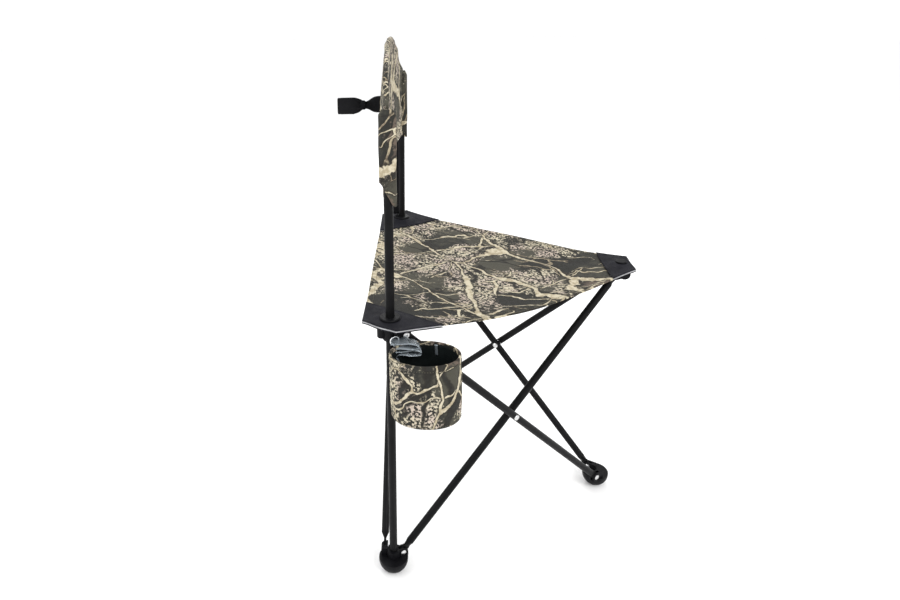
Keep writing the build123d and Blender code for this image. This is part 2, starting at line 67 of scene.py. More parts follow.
LEFT = Vector((*node_middle("left_post").xy, 0))
RIGHT = Vector((*node_middle("right_post").xy, 0))
SPAN = (RIGHT - LEFT).length
BACK_MIDDLE = (LEFT + RIGHT) / 2
FRONT = BACK_MIDDLE - Vector((0, SPAN * math.sqrt(3) / 2, 0))
CORNERS = {"left": LEFT, "front": FRONT, "right": RIGHT}
NEXT = {"left": "front", "front": "right", "right": "left"}
CENTRE = (LEFT + RIGHT + FRONT) / 3
CORNER_TO_CENTRE = (LEFT - CENTRE).length
UP = Vector((0, 0, 1))

# Seat. Its height, tilt, thickness and hinge lines are the CAD part's; its edges bow outwards.
SEAT_EDGE_Z = 447.6 * MM
SEAT_BALL_RADIUS = 1900 * MM
SEAT_THICKNESS = 2.5 * MM
SEAT_TILT = math.tan(math.radians(0.4))
# How far the cut end of each corner lies beyond its post or joint, and half its width.
CUT_OUT = {"left": 27 * MM, "right": 31 * MM, "front": 13 * MM}
CUT_HALF = 27 * MM
# How far the middle of a long edge stands out from the straight line between its ends.
FRONT_EDGE_BOW = 15 * MM
BACK_EDGE_BOW = 2 * MM
# How far each corner patch reaches to the centre, and how much further at its middle.
REACH = {"left": 33.5 * MM, "right": 33.5 * MM, "front": 30 * MM}
PATCH_BULGE = {"left": 5 * MM, "right": 1.5 * MM, "front": 1.5 * MM}
HEM = 11 * MM
HEM_EXTRA = 0.7 * MM
PATCH_TOP = 4 * MM
# The shares of their width that gores and patches keep when the stool is folded.
GORE_KEEP = 0.149
PATCH_KEEP = 0.34

# Backrest, at the CAD part's heights.
SLEEVE_BOTTOM_Z = 604.6 * MM
SLEEVE_SLANT = 30 * MM
SLEEVE_TOP_Z = 719.6 * MM
SLEEVE_HALF_X = 8.3 * MM
SLEEVE_HALF_Y = 10.8 * MM
BACKREST_TOP_Z = 791.6 * MM
BACKREST_BOW = 16 * MM
# The share of the bow that is left at the arched top.
TOP_BOW_SHARE = 0.5
# The sleeves are sewn shut just over the posts' caps.
POST_TIP_Z = 715.8 * MM
SLEEVE_SEAM_Z = 723 * MM
SLEEVE_WALL = 1.3 * MM
# How far the rim's stitches lie inside the top and bottom edges.
RIM_SEAM = 9 * MM
# The share of its width that the backrest keeps when the stool is folded.
BACKREST_KEEP = 0.2665
BACKREST_FOLD = ("fold", (1, 0, 0), tuple(LEFT), BACKREST_KEEP)


def lerp(a, b, share):
    return a + (b - a) * share


def spread(start, end, steps):
    """Numbers in even steps from start to end, both included."""
    return [lerp(start, end, k / steps) for k in range(steps + 1)]


def smooth(value, low, high):
    share = min(1.0, max(0.0, (value - low) / (high - low)))
    return share * share * (3 - 2 * share)


def inward(corner):
    return (CENTRE - CORNERS[corner]).normalized()


def sideways(corner):
    way = inward(corner)
    return Vector((-way.y, way.x, 0))


def place(corner, along, side):
    """A point in a corner's own frame: along the way to the centre, then to its left."""
    return CORNERS[corner] + inward(corner) * along + sideways(corner) * side


# -------------------- meshes


def mesh_piece(name, points, faces):
    mesh = bpy.data.meshes.new(name)
    mesh.from_pydata([tuple(p) for p in points], [], faces)
    made = bmesh.new()
    made.from_mesh(mesh)
    bmesh.ops.recalc_face_normals(made, faces=made.faces)
    made.to_mesh(mesh)
    made.free()
    mesh.polygons.foreach_set("use_smooth", [True] * len(mesh.polygons))
    piece = bpy.data.objects.new(name, mesh)
    bpy.context.scene.collection.objects.link(piece)
    return piece


def at_height(point, z):
    return Vector((point.x, point.y, z))


def thin_shell(name, rows, columns, pair):
    """A closed thin piece; pair gives its top and bottom point at each row and column."""
    pairs = [pair(i, j) for i in range(rows) for j in range(columns)]
    points = [top for top, _ in pairs] + [bottom for _, bottom in pairs]
    under = rows * columns
    faces = []
    for i in range(rows - 1):
        for j in range(columns - 1):
            a = i * columns + j
            d = a + columns
            faces.append((a, a + 1, d + 1, d))
            faces.append((under + d, under + d + 1, under + a + 1, under + a))
    border = list(range(columns))
    border += [i * columns + columns - 1 for i in range(1, rows)]
    border += [(rows - 1) * columns + j for j in range(columns - 2, -1, -1)]
    border += [i * columns for i in range(rows - 2, 0, -1)]
    for a, b in zip(border, border[1:] + border[:1]):
        faces.append((b, a, under + a, under + b))
    return mesh_piece(name, points, faces)


def ring_faces(first, count, rings, closed=False):
    """Faces between rings of count points each, whose points start at an index."""
    faces = []
    for i in range(rings if closed else rings - 1):
        here, there = first + i * count, first + (i + 1) % rings * count
        for j in range(count):
            k = (j + 1) % count
            faces.append((here + j, here + k, there + k, there + j))
    return faces


def ring_shell(name, loops):
    """A closed piece through a row of closed loops of points, with both ends capped."""
    count = len(loops[0])
    points = [p for loop in loops for p in loop]
    faces = ring_faces(0, count, len(loops))
    for loop, first in ((loops[0], 0), (loops[-1], (len(loops) - 1) * count)):
        points.append(sum((Vector(p) for p in loop), Vector()) / count)
        faces += [(first + j, first + (j + 1) % count, len(points) - 1) for j in range(count)]
    return mesh_piece(name, points, faces)


def closed_band(name, loops):
    """A closed band: a ring of loops where the last joins the first."""
    points = [p for loop in loops for p in loop]
    return mesh_piece(name, points, ring_faces(0, len(loops[0]), len(loops), closed=True))


def strip(name, line, across, half_widths, half_thickness, columns=9):
    """A flat strap along a line of points, its width across and its edges rounded."""

    def pair(i, j):
        ahead = line[min(i + 1, len(line) - 1)] - line[max(i - 1, 0)]
        wide = across[i].normalized()
        up = wide.cross(ahead).normalized()
        v = 2 * j / (columns - 1) - 1
        round_off = math.sqrt(max(0.0, 1 - abs(v) ** 6)) * 0.85 + 0.15
        middle = line[i] + wide * (v * half_widths[i])
        return middle + up * (half_thickness * round_off), middle - up * (half_thickness * round_off)

    return thin_shell(name, len(line), columns, pair)


def smooth_line(points, steps):
    """More points on a smooth line through the given ones."""
    line = []
    for i in range(len(points) - 1):
        p0, p1 = points[max(i - 1, 0)], points[i]
        p2, p3 = points[i + 1], points[min(i + 2, len(points) - 1)]
        for k in range(steps):
            t = k / steps
            line.append(
                0.5 * (2 * p1 + (p2 - p0) * t + (2 * p0 - 5 * p1 + 4 * p2 - p3) * t**2
                       + (3 * p1 - p0 - 3 * p2 + p3) * t**3)
            )
    line.append(points[-1].copy())
    return line


THREAD_RADIUS = 0.35 * MM
STITCH_PITCH = 3.6 * MM
STITCH_SHARE = 0.68
BEAD_SIDES = 6
BEAD_STEPS = 4


def stitches(name, lines, ups, pitch=STITCH_PITCH):
    """Sewing thread: a short low bead for each stitch, in even steps along each line."""
    points, faces = [], []
    for line, up in zip(lines, ups):
        for start, end in stitch_ends(line, pitch, STITCH_SHARE):
            faces += bead_faces(len(points))
            points += bead_points(start, end, up)
    return mesh_piece(name, points, faces)


def bead_points(start, end, up):
    """Rings of points along one stitch, which is thickest at its middle."""
    side = (end - start).normalized().cross(up).normalized()
    points = []
    for k in range(BEAD_STEPS + 1):
        share = k / BEAD_STEPS
        swell = THREAD_RADIUS * (0.45 + 0.55 * math.sin(math.pi * share))
        middle = lerp(start, end, share) + up * (swell * 0.5)
        for q in range(BEAD_SIDES):
            turn = math.tau * q / BEAD_SIDES
            points.append(middle + side * (math.cos(turn) * swell) + up * (math.sin(turn) * swell))
    return points


def bead_faces(first):
    """The faces of one stitch, whose points start at an index: its sides and its two ends."""
    last = first + BEAD_SIDES * BEAD_STEPS
    ends = [tuple(range(end, end + BEAD_SIDES)) for end in (first, last)]
    return ring_faces(first, BEAD_SIDES, BEAD_STEPS + 1) + ends


def stitch_ends(line, pitch, share):
    """Start and end of each stitch along a line of points."""
    ends, travelled, target = [], 0.0, pitch / 2
    for a, b in zip(line, line[1:]):
        step = (b - a).length
        while step > 0 and target <= travelled + step:
            middle = lerp(a, b, (target - travelled) / step)
            half = (b - a).normalized() * (pitch * share / 2)
            ends.append((middle - half, middle + half))
            target += pitch
        travelled += step
    return ends


# -------------------- material helpers


def new_material(name):
    material = bpy.data.materials.new(name)
    material.use_nodes = True
    tree = material.node_tree
    return material, tree, tree.nodes["Principled BSDF"]


def add(tree, kind, inputs, **settings):
    """Add a node, set its settings, and set or link its inputs."""
    made = tree.nodes.new(kind)
    for setting, value in settings.items():
        setattr(made, setting, value)
    for socket, value in inputs.items():
        if isinstance(value, bpy.types.NodeSocket):
            tree.links.new(value, made.inputs[socket])
        else:
            made.inputs[socket].default_value = value
    return made


def local_place(tree, turn=(0, 0, 0), cell=(1, 1, 1)):
    """Object coordinates, turned and then divided by a cell size."""
    coordinates = tree.nodes.new("ShaderNodeTexCoord").outputs["Object"]
    inputs = {"Vector": coordinates, "Rotation": turn, "Scale": cell}
    return add(tree, "ShaderNodeMapping", inputs, vector_type="TEXTURE").outputs[0]


def clouds(tree, where, scale, detail=2.0, roughness=0.5, move=0.0):
    inputs = {"Vector": where, "W": move, "Scale": scale, "Detail": detail, "Roughness": roughness}
    return add(tree, "ShaderNodeTexNoise", inputs, noise_dimensions="4D").outputs[0]


def between(tree, value, low, high, start=0.0, end=1.0):
    inputs = {"Value": value, "From Min": low, "From Max": high, "To Min": start, "To Max": end}
    return add(tree, "ShaderNodeMapRange", inputs, interpolation_type="SMOOTHSTEP").outputs[0]


def calculate(tree, operation, *values):
    return add(tree, "ShaderNodeMath", dict(enumerate(values)), operation=operation).outputs[0]


def mix(tree, share, first, second):
    colours = {0: share, 6: opaque(first), 7: opaque(second)}
    return add(tree, "ShaderNodeMix", colours, data_type="RGBA").outputs[2]


def finish_shader(tree, shader, colour, rough, shine, metallic=0.0):
    """Link the colour and roughness, and set what is the same all over."""
    tree.links.new(colour, shader.inputs["Base Color"])
    tree.links.new(rough, shader.inputs["Roughness"])
    shader.inputs["Specular IOR Level"].default_value = shine
    shader.inputs["Metallic"].default_value = metallic


def opaque(colour):
    """A named colour with its alpha, or a linked colour as it is."""
    return (*colour, 1.0) if isinstance(colour, tuple) and len(colour) == 3 else colour


def lighten(colour, gain, lift):
    return tuple(min(1.0, part * gain + lift) for part in colour)


def raise_surface(tree, shader, height, distance, strength, below=None):
    """Bump from a height, over the bump given as below, if any."""
    inputs = {"Height": height, "Distance": distance, "Strength": strength}
    if below is not None:
        inputs["Normal"] = below
    bump = add(tree, "ShaderNodeBump", inputs).outputs[0]
    tree.links.new(bump, shader.inputs["Normal"])
    return bump


def weave_height(tree, turn, pitch):
    """Crossing threads: over and under in both directions of the cloth."""
    where = local_place(tree, turn=turn, cell=(pitch, pitch, pitch))
    split = add(tree, "ShaderNodeSeparateXYZ", {0: where}).outputs
    warp = calculate(tree, "SINE", calculate(tree, "MULTIPLY", split[0], math.pi))
    weft = calculate(tree, "SINE", calculate(tree, "MULTIPLY", split[1], math.pi))
    return calculate(tree, "MULTIPLY", warp, weft)


# -------------------- materials


CHARCOAL = (0.024, 0.024, 0.021)
OLIVE = (0.066, 0.063, 0.048)
LEAF_BROWN = (0.13, 0.1, 0.078)
CREAM = (0.6, 0.54, 0.4)
PALE_PINK = (0.56, 0.47, 0.39)
TAN = (0.4, 0.34, 0.23)
BARK_BROWN = (0.19, 0.15, 0.105)
SHADOW = (0.02, 0.018, 0.015)
WORN_PAINT = (0.06, 0.06, 0.06)


def bend_places(tree, plain):
    """Places shifted by up to about two centimetres, so that straight cells look grown."""
    inputs = {"Vector": plain, "Scale": 14.0, "Detail": 3.0}
    bend = add(tree, "ShaderNodeTexNoise", inputs).outputs[1]
    inputs = {0: bend, 1: (0.5, 0.5, 0.5)}
    bend = add(tree, "ShaderNodeVectorMath", inputs, operation="SUBTRACT").outputs[0]
    inputs = {0: bend, 1: (0.045, 0.045, 0.045), 2: plain}
    return add(tree, "ShaderNodeVectorMath", inputs, operation="MULTIPLY_ADD").outputs[0]


def camouflage(name, turn, lean, bold=0.029, cracks=0.03):
    """Printed leaf litter and branches on a close weave.

    turn lays the pattern in the cloth, and lean is the way its branches run, in degrees. bold is
    the width of the boldest branches and cracks that of the dark lines, as shares of their cells.
    """
    material, tree, shader = new_material(name)
    plain = local_place(tree, turn=turn)
    bent = bend_places(tree, plain)
    grain = clouds(tree, plain, 210.0, 2.0, 0.6)
    rough_edge = calculate(tree, "SUBTRACT", grain, 0.5)

    def area(scale, move, low, high):
        """Where noise of a scale is over a level between low and high, with a ragged edge."""
        ragged = calculate(tree, "MULTIPLY", rough_edge, 0.22)
        value = calculate(tree, "ADD", clouds(tree, bent, scale, 2.0, 0.5, move), ragged)
        return between(tree, value, low, high)

    def branch(base, degrees, along, across, move, width, light, dark, gaps=1.4):
        """A forked network of lines with dark sides and some gaps, drawn over a base colour.

        The lines follow the sides of cells that are along by across metres in size, turned by
        degrees. move picks another part of the noise, and width is a share of a cell.
        """
        inputs = {"Vector": bent, "Location": (move, move, move), "Scale": (along, across, across),
                  "Rotation": (0, 0, math.radians(degrees + lean))}
        where = add(tree, "ShaderNodeMapping", inputs, vector_type="TEXTURE").outputs[0]
        away = add(tree, "ShaderNodeTexVoronoi", {"Vector": where, "Scale": 1.0},
                   feature="DISTANCE_TO_EDGE").outputs["Distance"]
        here = clouds(tree, bent, 9.0, 1.0, 0.5, move + 20.0)
        thin_out = between(tree, here, 0.42, 0.56, width * gaps, 0.0)
        ragged = calculate(tree, "MULTIPLY", rough_edge, width * 1.6)
        away = calculate(tree, "ADD", calculate(tree, "ADD", away, thin_out), ragged)
        flecks = between(tree, clouds(tree, plain, 130.0, 2.0, 0.6, move), 0.42, 0.6)
        bark = mix(tree, flecks, light, dark)
        rim = between(tree, away, width * 1.1, width * 2.0, 0.85, 0.0)
        line = between(tree, away, width * 0.75, width, 1.0, 0.0)
        return mix(tree, line, mix(tree, rim, base, SHADOW), bark)

    ground = mix(tree, area(12.0, 1.0, 0.42, 0.54), CHARCOAL, OLIVE)
    ground = mix(tree, area(11.0, 4.0, 0.58, 0.63), ground, LEAF_BROWN)
    speck = between(tree, clouds(tree, plain, 260.0, 2.0, 0.6, 2.0), 0.47, 0.53)
    pinker = between(tree, clouds(tree, plain, 26.0, 1.0, 0.5, 7.0), 0.4, 0.6)
    litter = mix(tree, speck, CHARCOAL, mix(tree, pinker, CREAM, PALE_PINK))
    colour = branch(ground, 62.0, 0.09, 0.03, 3.0, 0.03, TAN, BARK_BROWN)
    colour = mix(tree, area(11.0, 9.0, 0.48, 0.53), colour, litter)
    colour = branch(colour, 48.0, 0.12, 0.03, 8.0, cracks, SHADOW, CHARCOAL)
    colour = branch(colour, 90.0, 0.16, 0.045, 5.0, 0.018, CREAM, TAN)
    colour = branch(colour, -51.0, 0.26, 0.09, 6.0, 0.018, CREAM, TAN)
    colour = branch(colour, 33.0, 0.34, 0.095, 11.0, bold, CREAM, TAN, 0.5)
    threads = weave_height(tree, turn, 0.45 * MM)
    # Painted shade on the weave: up to 0.18 of the way to SHADOW where the crossing threads stand
    # highest.
    colour = mix(tree, between(tree, threads, -1.0, 1.0, 0.0, 0.18), colour, SHADOW)
    finish_shader(tree, shader, colour, between(tree, grain, 0.3, 0.7, 0.72, 0.86), 0.2)
    puckers = raise_surface(tree, shader, clouds(tree, plain, 60.0, 3.0, 0.5, 5.0), 0.8 * MM, 0.5)
    raise_surface(tree, shader, threads, 0.12 * MM, 0.7, puckers)
    return material


def plain_cloth(name, colour, turn, pitch, roughness):
    """Cloth of one colour: its weave with a painted highlight on the raised threads, faint puckers and a
    cloudy lightness.
    """
    material, tree, shader = new_material(name)
    where = local_place(tree)
    threads = weave_height(tree, turn, pitch)
    lighter = lighten(colour, 1.5, 0.003)
    shade = mix(tree, between(tree, clouds(tree, where, 35.0, 3.0, 0.6), 0.35, 0.65), colour, lighter)
    # Painted highlight on the weave: raised threads up to 0.3 of the way to the lighter colour.
    shade = mix(tree, between(tree, threads, -1.0, 1.0, 0.0, 0.3), shade, lighter)
    rough = between(tree, clouds(tree, where, 90.0, 2.0), 0.3, 0.7, roughness - 0.06, roughness + 0.08)
    finish_shader(tree, shader, shade, rough, 0.14)
    puckers = raise_surface(tree, shader, clouds(tree, where, 55.0, 3.0, 0.5, 3.0), 0.8 * MM, 0.5)
    raise_surface(tree, shader, threads, 0.15 * MM, 0.8, puckers)
    return material


def webbing(name, colour, turn, roughness, shine, rib, metallic=0.0):
    """Woven tape: ribs across its width with a painted highlight on their crests, and finer crossing
    threads over them.
    """
    material, tree, shader = new_material(name)
    where = local_place(tree)
    inputs = {"Vector": local_place(tree, turn=turn, cell=(rib, rib, rib)), "Scale": 0.31}
    ribs = add(tree, "ShaderNodeTexWave", inputs, wave_type="BANDS", bands_direction="X",
               wave_profile="SIN").outputs[1]
    threads = weave_height(tree, turn, 0.5 * MM)
    lighter = lighten(colour, 1.6, 0.004)
    # Painted highlight on the rib crests: up to 0.6 of the way to the lighter colour.
    shade = mix(tree, between(tree, ribs, 0.2, 0.9, 0.0, 0.6), colour, lighter)
    faded = between(tree, clouds(tree, where, 70.0, 3.0), 0.35, 0.65, 0.0, 0.35)
    shade = mix(tree, faded, shade, lighter)
    rough = between(tree, clouds(tree, where, 60.0, 2.0), 0.3, 0.7, roughness - 0.07, roughness + 0.07)
    finish_shader(tree, shader, shade, rough, shine, metallic)
    raised = raise_surface(tree, shader, ribs, 0.25 * MM, 0.8)
    raise_surface(tree, shader, threads, 0.1 * MM, 0.6, raised)
    return material


def hard(name, colour, roughness, shine, grain_scale, grain_height, metallic=0.0, wear=0.0):
    """Paint, moulded plastic or bare metal with a fine grain, cloudy gloss and a little wear."""
    material, tree, shader = new_material(name)
    where = local_place(tree)
    fine = clouds(tree, where, grain_scale, 2.0, 0.6)
    lighter = lighten(colour, 1.25, 0.002)
    shade = mix(tree, between(tree, clouds(tree, where, 40.0, 3.0, 0.6), 0.35, 0.65), colour, lighter)
    gloss = clouds(tree, where, 70.0, 4.0, 0.65, 2.0)
    rough = between(tree, gloss, 0.3, 0.7, roughness - 0.07, roughness + 0.09)
    if wear:
        scuffs = clouds(tree, local_place(tree, cell=(1.0, 1.0, 4.0)), 240.0, 3.0, 0.7, 5.0)
        spots = between(tree, scuffs, 0.7, 0.76, 0.0, wear)
        shade = mix(tree, spots, shade, WORN_PAINT)
    finish_shader(tree, shader, shade, rough, shine, metallic)
    raise_surface(tree, shader, fine, grain_height, 0.6)
    return material


FLAT_CLOTH = (0, 0, 0)
UPRIGHT_CLOTH = (math.radians(90), 0, 0)
SIDE_CLOTH = (math.radians(90), 0, math.radians(90))
seat_camouflage = camouflage("seat_camouflage", FLAT_CLOTH, 0.0)
backrest_camouflage = camouflage("backrest_camouflage", UPRIGHT_CLOTH, 57.0)
sleeve_camouflage = camouflage("sleeve_camouflage", SIDE_CLOTH, 57.0)
cup_camouflage = camouflage("cup_camouflage", SIDE_CLOTH, 62.0, 0.014, 0.075)
black_cloth = plain_cloth("black_cloth", (0.006, 0.006, 0.009), FLAT_CLOTH, 0.8 * MM, 0.75)
edge_cloth = plain_cloth("edge_cloth", (0.34, 0.34, 0.35), FLAT_CLOTH, 0.6 * MM, 0.8)
lining_cloth = plain_cloth("lining_cloth", (0.003, 0.005, 0.005), SIDE_CLOTH, 0.5 * MM, 0.55)
black_webbing = webbing("black_webbing", (0.004, 0.004, 0.005), SIDE_CLOTH, 0.7, 0.12, 1.1 * MM)
grey_webbing = webbing("grey_webbing", (0.3, 0.34, 0.37), FLAT_CLOTH, 0.28, 0.8, 0.9 * MM, 0.75)
thread = plain_cloth("thread", (0.02, 0.02, 0.02), FLAT_CLOTH, 0.3 * MM, 0.6)
camouflage_thread = plain_cloth("camouflage_thread", (0.09, 0.085, 0.06), FLAT_CLOTH, 0.3 * MM, 0.6)
tube_paint = hard("tube_paint", (0.003, 0.003, 0.0035), 0.42, 0.1, 900.0, 0.05 * MM, wear=0.35)
black_plastic = hard("black_plastic", (0.003, 0.003, 0.004), 0.5, 0.11, 1400.0, 0.08 * MM, wear=0.4)
rivet_metal = hard("rivet_metal", (0.6, 0.6, 0.6), 0.33, 0.5, 600.0, 0.04 * MM, metallic=1.0)
bright_metal = hard("bright_metal", (0.7, 0.71, 0.72), 0.24, 0.5, 500.0, 0.03 * MM, metallic=1.0)

MATERIAL_OF_SLOT = {
    "black_tube": tube_paint,
    "black_plastic": black_plastic,
    "rivet_steel": rivet_metal,
    "bright_steel": bright_metal,
}


def finish_cad_nodes():
    """Give every CAD piece that stays in view its detailed material."""
    for row in frame["record"]["subparts"]:
        material = MATERIAL_OF_SLOT.get(row["material_slot"])
        if material:
            for holder in frame["nodes"][row["node"]].material_slots:
                holder.material = material


def dress(piece, material, body, squash=None, replaces=()):
    """Material, body and replaced CAD nodes of one new piece; a piece given a squash gets a mesh of its
    own.
    """
    piece.data.materials.append(material)
    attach(piece, body)
    if squash:
        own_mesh(piece)
    if replaces:
        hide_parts(*replaces)
    return piece


# -------------------- seat


def outline_end(corner, side):
    """One end of a corner's cut, to its left for side 1 and to its right for side -1."""
    return place(corner, -CUT_OUT[corner], side * CUT_HALF)


def bow_share(share):
    """How much of its full bow an edge has at a share of its length: little near its two ends."""
    return math.sin(math.pi * share) ** 2


def edge_line(corner, side):
    """The seat's outer edge that leaves a corner on one side: its start, its end and its bow."""
    other = NEXT[corner] if side < 0 else next(c for c in NEXT if NEXT[c] == corner)
    bow = FRONT_EDGE_BOW if "front" in (corner, other) else BACK_EDGE_BOW
    return outline_end(corner, side), outline_end(other, -side), bow


def edge_at(corner, side, share):
    """The point of that edge at a share of its length; the edge bows outwards."""
    start, end, bow = edge_line(corner, side)
    along = (end - start).normalized()
    out = Vector((-along.y, along.x, 0)) * side
    return lerp(start, end, share) + out * (bow * bow_share(share))


def edge_share(corner, side, along):
    """The share of the edge at a given distance along the corner's way to the centre."""
    start, end, _ = edge_line(corner, side)
    way = inward(corner)
    return (along - (start - CORNERS[corner]).dot(way)) / (end - start).dot(way)


def edge_point(corner, side, along):
    """The point of the edge at that distance."""
    return edge_at(corner, side, edge_share(corner, side, along))


def mid_share(corner, side):
    """Where the edge meets the line from the centre at 60 degrees to the corner's way."""
    start, end, _ = edge_line(corner, side)
    way, left = inward(corner), sideways(corner)
    line = way * -0.5 + left * (side * math.sqrt(3) / 2)
    step = end - start
    gap = start - CENTRE
    return (line.x * gap.y - line.y * gap.x) / (step.x * line.y - step.y * line.x)


def edge_distance(point):
    """How far a point is inside the nearest of the seat's three long edges."""
    nearest = 1.0
    for corner in CORNERS:
        start, end, bow = edge_line(corner, -1)
        along = (end - start).normalized()
        gap = point - start
        share = min(1.0, max(0.0, gap.dot(along) / (end - start).length))
        inside = gap.y * along.x - gap.x * along.y
        nearest = min(nearest, inside + bow * bow_share(share))
    return max(0.0, nearest)


def seat_low(point):
    """Height of the seat sheet's lower face: a large ball, tilted a little to the front."""
    farthest = CORNER_TO_CENTRE + CUT_OUT["right"]
    rise = SEAT_BALL_RADIUS - math.sqrt(SEAT_BALL_RADIUS**2 - farthest**2)
    away = (at_height(point, 0) - CENTRE).length
    ball = SEAT_BALL_RADIUS - math.sqrt(SEAT_BALL_RADIUS**2 - away**2)
    return SEAT_EDGE_Z - SEAT_THICKNESS - rise + ball + (point.y - LEFT.y) * SEAT_TILT


def seat_fold(point):
    """Small tension folds that fan out from the corners, and the slack of the cloth."""
    height = 0.0
    for index, corner in enumerate(CORNERS):
        gap = at_height(point, 0) - CORNERS[corner]
        away = gap.length
        angle = math.atan2(gap.dot(sideways(corner)), gap.dot(inward(corner)))
        wave = math.sin(angle * 11 + index * 1.7 + away * 9)
        height += 0.9 * MM * wave * smooth(away, 0.035, 0.08) * math.exp(-((away / 0.17) ** 2))
    slack = noise.noise(Vector((point.x * 13, point.y * 13, 2.3)))
    return height + 1.1 * MM * slack


def seat_top(point):
    """Height of the sheet's upper face, which is thicker along its hem."""
    hem = HEM_EXTRA * (1 - smooth(edge_distance(point), HEM - 1.5 * MM, HEM + 1.0 * MM))
    return seat_low(point) + SEAT_THICKNESS * 0.8 + seat_fold(point) + hem


def seat_normal(point):
    """The way the upper face looks at a point, from its slopes."""
    step = 2 * MM
    slope_x = seat_top(point + Vector((step, 0, 0))) - seat_top(point - Vector((step, 0, 0)))
    slope_y = seat_top(point + Vector((0, step, 0))) - seat_top(point - Vector((0, step, 0)))
    return Vector((-slope_x, -slope_y, 2 * step)).normalized()


def edge_taper(distance):
    """Share of the full thickness near a rounded edge."""
    return 0.2 + 0.8 * math.sqrt(1 - (1 - min(1.0, distance / (1.6 * MM))) ** 2)


GORE_ROWS = 34
# Places across a gore, from 0 at one seat edge to 2 at the other, closer together in the hems.
EDGE_STATIONS = (0, 0.004, 0.012, 0.025, 0.05, 0.075, 0.09, 0.105, 0.13)
MIDDLE_STATIONS = [0.16 + 1.68 * k / 44 for k in range(45)]
STATIONS = sorted(list(EDGE_STATIONS) + MIDDLE_STATIONS + [2 - e for e in EDGE_STATIONS])


def gore_sides(corner):
    """Of each side of a gore: its edge's first and last share, and the points there."""
    sides = {}
    for side in (-1, 1):
        first, last = edge_share(corner, side, REACH[corner]), mid_share(corner, side)
        sides[side] = (first, last, edge_at(corner, side, first), edge_at(corner, side, last))
    return sides


def edge_bow(corner, side, sides, share):
    """How far a gore's curved side is from the straight line between its ends."""
    first, last, start, end = sides[side]
    return edge_at(corner, side, lerp(first, last, share)) - lerp(start, end, share)


def make_gore(corner):
    """A corner's third of the seat: from its hinge line to the lines between the gores."""
    sides = gore_sides(corner)
    ends = {side: sides[side][2] for side in sides}
    mids = {side: sides[side][3] for side in sides}

    def pair(i, j):
        share = i / GORE_ROWS
        v = STATIONS[j] - 1
        side = 1 if v > 0 else -1
        start = lerp(ends[-1], ends[1], STATIONS[j] / 2)
        end = lerp(CENTRE, mids[side], abs(v))
        point = lerp(start, end, share) + edge_bow(corner, side, sides, share) * abs(v) ** 3
        top, low = seat_top(point), seat_low(point) + seat_fold(point)
        middle, half = (top + low) / 2, (top - low) / 2
        half *= edge_taper(edge_distance(point))
        return at_height(point, middle + half), at_height(point, middle - half)

    piece = thin_shell(f"seat_sheet_{corner}", GORE_ROWS + 1, len(STATIONS), pair)
    match_border_normals(piece, GORE_ROWS + 1, len(STATIONS))
    squash = (f"seat_{corner}_drop", sideways(corner), tuple(CORNERS[corner]), GORE_KEEP)
    body = f"seat_{corner}"
    dress(piece, seat_camouflage, body, squash, [f"seat_cloth_{corner}"])
    corners = (ends[-1], mids[-1], CENTRE, mids[1], ends[1])
    flat_area(corners)
    insets = (2.2 * MM, HEM - 2.0 * MM)
    lines = [hem_line(corner, side, inset) for side in sides for inset in insets]
    seam = stitches(f"seat_hem_stitches_{corner}", lines, [UP] * len(lines))
    dress(seam, camouflage_thread, body, squash)


def flat_area(corners):
    """Area of an outline given by its corners in order."""
    pairs = zip(corners, corners[1:] + corners[:1])
    return abs(sum(a.x * b.y - b.x * a.y for a, b in pairs)) / 2


HEM_STEPS = 40


def hem_line(corner, side, inset):
    """A line on the seat at a distance inside one of its long edges, for the hem's stitches."""
    first, last = edge_share(corner, side, REACH[corner] + 4 * MM), mid_share(corner, side)
    start, end, _ = edge_line(corner, side)
    along = (end - start).normalized()
    inside = Vector((along.y, -along.x, 0)) * side
    line = []
    for share in spread(first, last, HEM_STEPS):
        point = edge_at(corner, side, share) + inside * inset
        line.append(at_height(point, seat_top(point)))
    return line


def match_border_normals(piece, rows, columns):
    """Shade the gores' shared borders by the sheet itself, so no line shows between them."""
    mesh = piece.data
    under = rows * columns
    last = {(rows - 1) * columns + j for j in range(columns)}
    last |= {under + v for v in last}
    normals = [Vector(n.vector) for n in mesh.corner_normals]
    for polygon in mesh.polygons:
        touching = [v for v in polygon.vertices if v in last]
        if not touching:
            continue
        levels = {v >= under for v in polygon.vertices}
        for corner_index in polygon.loop_indices:
            vertex = mesh.loops[corner_index].vertex_index
            if len(levels) == 2:
                normals[corner_index] = polygon.normal.copy()
            elif vertex in last:
                normal = seat_normal(mesh.vertices[vertex].co)
                normals[corner_index] = -normal if vertex >= under else normal
    mesh.normals_split_custom_set([tuple(n) for n in normals])


PATCH_ROWS = 26
PATCH_COLUMNS = 40


def patch_layer(corner, name, grow, low_lift, high_lift, bulge):
    """One layer of a corner patch, between two heights over the sheet's lower face."""
    fixing = SEAT_FIXING[corner]

    def pair(i, j):
        share = i / PATCH_ROWS
        v = 2 * j / PATCH_COLUMNS - 1
        far = REACH[corner] + bulge * (1 - v * v)
        along = lerp(-CUT_OUT[corner] - grow, far, share)
        right, left = edge_point(corner, -1, along), edge_point(corner, 1, along)
        point = lerp(right, left, (v + 1) / 2) + sideways(corner) * (v * grow)
        near = 1 - smooth((at_height(point, 0) - CORNERS[corner]).length, *fixing["fade"])
        low = lerp(seat_low(point) + low_lift, fixing["low"] + low_lift, near)
        high = lerp(seat_low(point) + high_lift, fixing["high"] + high_lift, near)
        ripple = 0.35 * MM * noise.noise(Vector((point.x * 45, point.y * 45, 1.0)))
        rim = min((1 - abs(v)) * 0.05, (1 - share) * 0.06, share * 0.06)
        half = (high - low) / 2 * edge_taper(rim)
        middle = (high + low) / 2 + ripple
        return at_height(point, middle + half), at_height(point, middle - half)

    return thin_shell(name, PATCH_ROWS + 1, PATCH_COLUMNS + 1, pair)


